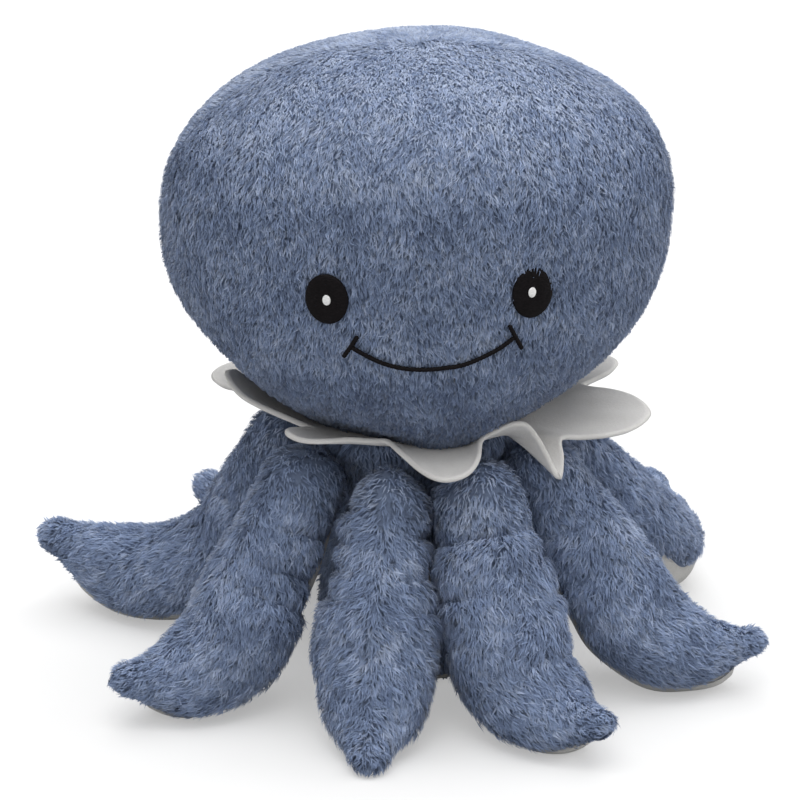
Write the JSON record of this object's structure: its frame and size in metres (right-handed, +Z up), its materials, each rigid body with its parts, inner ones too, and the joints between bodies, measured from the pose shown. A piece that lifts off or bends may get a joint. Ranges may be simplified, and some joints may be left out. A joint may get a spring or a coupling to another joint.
{
  "type": "plush octopus",
  "caption": "Stuffed plush octopus with a round blue head, stitched eyes and smile, a lobed grey felt collar and stuffed arms with grey undersides.",
  "frame": {"origin": "middle of the base panel's underside, on the floor", "axes": "+Z up; the face looks along -Y; +X to the viewer's right of the face"},
  "size_m": [0.2527, 0.2194, 0.2174],
  "materials": {
    "blue_plush": "heathered long-pile plush, matt",
    "grey_suede": "short-napped fabric, matt",
    "grey_felt": "pressed felt, matt",
    "polyester_filling": "loose polyester fibre",
    "black_thread": "satin-stitched embroidery thread",
    "white_thread": "satin-stitched embroidery thread"
  },
  "bodies": {
    "torso": {"base_panel": "grey_suede", "torso_cover": "blue_plush", "torso_filling": "polyester_filling"},
    "collar": {"collar": "grey_felt"},
    "head": {"head_front": "blue_plush", "head_back": "blue_plush", "head_filling": "polyester_filling", "eye_left": "black_thread", "eye_right": "black_thread", "eye_highlight_left": "white_thread", "eye_highlight_right": "white_thread", "smile": "black_thread"},
    "arm_front": {"arm_front_cover": "blue_plush", "arm_front_underside": "grey_suede", "arm_front_filling": "polyester_filling"},
    "arm_front_right": {"arm_front_right_cover": "blue_plush", "arm_front_right_underside": "grey_suede", "arm_front_right_filling": "polyester_filling"},
    "arm_right": {"arm_right_cover": "blue_plush", "arm_right_underside": "grey_suede", "arm_right_filling": "polyester_filling"},
    "arm_back_right": {"arm_back_right_cover": "blue_plush", "arm_back_right_underside": "grey_suede", "arm_back_right_filling": "polyester_filling"},
    "arm_back": {"arm_back_cover": "blue_plush", "arm_back_underside": "grey_suede", "arm_back_filling": "polyester_filling"},
    "arm_back_left": {"arm_back_left_cover": "blue_plush", "arm_back_left_underside": "grey_suede", "arm_back_left_filling": "polyester_filling"},
    "arm_left": {"arm_left_cover": "blue_plush", "arm_left_underside": "grey_suede", "arm_left_filling": "polyester_filling"},
    "arm_front_left": {"arm_front_left_cover": "blue_plush", "arm_front_left_underside": "grey_suede", "arm_front_left_filling": "polyester_filling"}
  },
  "joints": [
    {"name": "neck_nod", "type": "hinge", "parent": "torso", "child": "collar", "pos_m": [0, 0, 0.055], "axis": [1, 0, 0], "range_deg": [-5, 3], "stiffness_Nm_per_rad": 0.8},
    {"name": "neck_turn", "type": "hinge", "parent": "collar", "child": "head", "pos_m": [0, 0, 0.092], "axis": [0, 0, 1], "range_deg": [-15, 15], "stiffness_Nm_per_rad": 0.3},
    {"name": "arm_front_lift", "type": "hinge", "parent": "torso", "child": "arm_front", "pos_m": [-0.00816, -0.04629, 0.071], "axis": [-0.9848, 0.1736, 0], "range_deg": [-10, 35], "stiffness_Nm_per_rad": 0.05},
    {"name": "arm_front_right_lift", "type": "hinge", "parent": "torso", "child": "arm_front_right", "pos_m": [0.02207, -0.0415, 0.071], "axis": [-0.8829, -0.4695, 0], "range_deg": [-7, 35], "stiffness_Nm_per_rad": 0.05},
    {"name": "arm_right_lift", "type": "hinge", "parent": "torso", "child": "arm_right", "pos_m": [0.04326, -0.01836, 0.071], "axis": [-0.3907, -0.9205, 0], "range_deg": [-10, 35], "stiffness_Nm_per_rad": 0.05},
    {"name": "arm_back_right_lift", "type": "hinge", "parent": "torso", "child": "arm_back_right", "pos_m": [0.04388, 0.01684, 0.071], "axis": [0.3584, -0.9336, 0], "range_deg": [-10, 35], "stiffness_Nm_per_rad": 0.05},
    {"name": "arm_back_lift", "type": "hinge", "parent": "torso", "child": "arm_back", "pos_m": [0.01986, 0.0426, 0.071], "axis": [0.9063, -0.4226, 0], "range_deg": [-10, 35], "stiffness_Nm_per_rad": 0.05},
    {"name": "arm_back_left_lift", "type": "hinge", "parent": "torso", "child": "arm_back_left", "pos_m": [-0.0256, 0.03942, 0.071], "axis": [0.8387, 0.5446, 0], "range_deg": [-10, 35], "stiffness_Nm_per_rad": 0.05},
    {"name": "arm_left_lift", "type": "hinge", "parent": "torso", "child": "arm_left", "pos_m": [-0.0447, 0.01452, 0.071], "axis": [0.309, 0.9511, 0], "range_deg": [-10, 35], "stiffness_Nm_per_rad": 0.05},
    {"name": "arm_front_left_lift", "type": "hinge", "parent": "torso", "child": "arm_front_left", "pos_m": [-0.03802, -0.02763, 0.071], "axis": [-0.5878, 0.809, 0], "range_deg": [-10, 35], "stiffness_Nm_per_rad": 0.05}
  ]
}
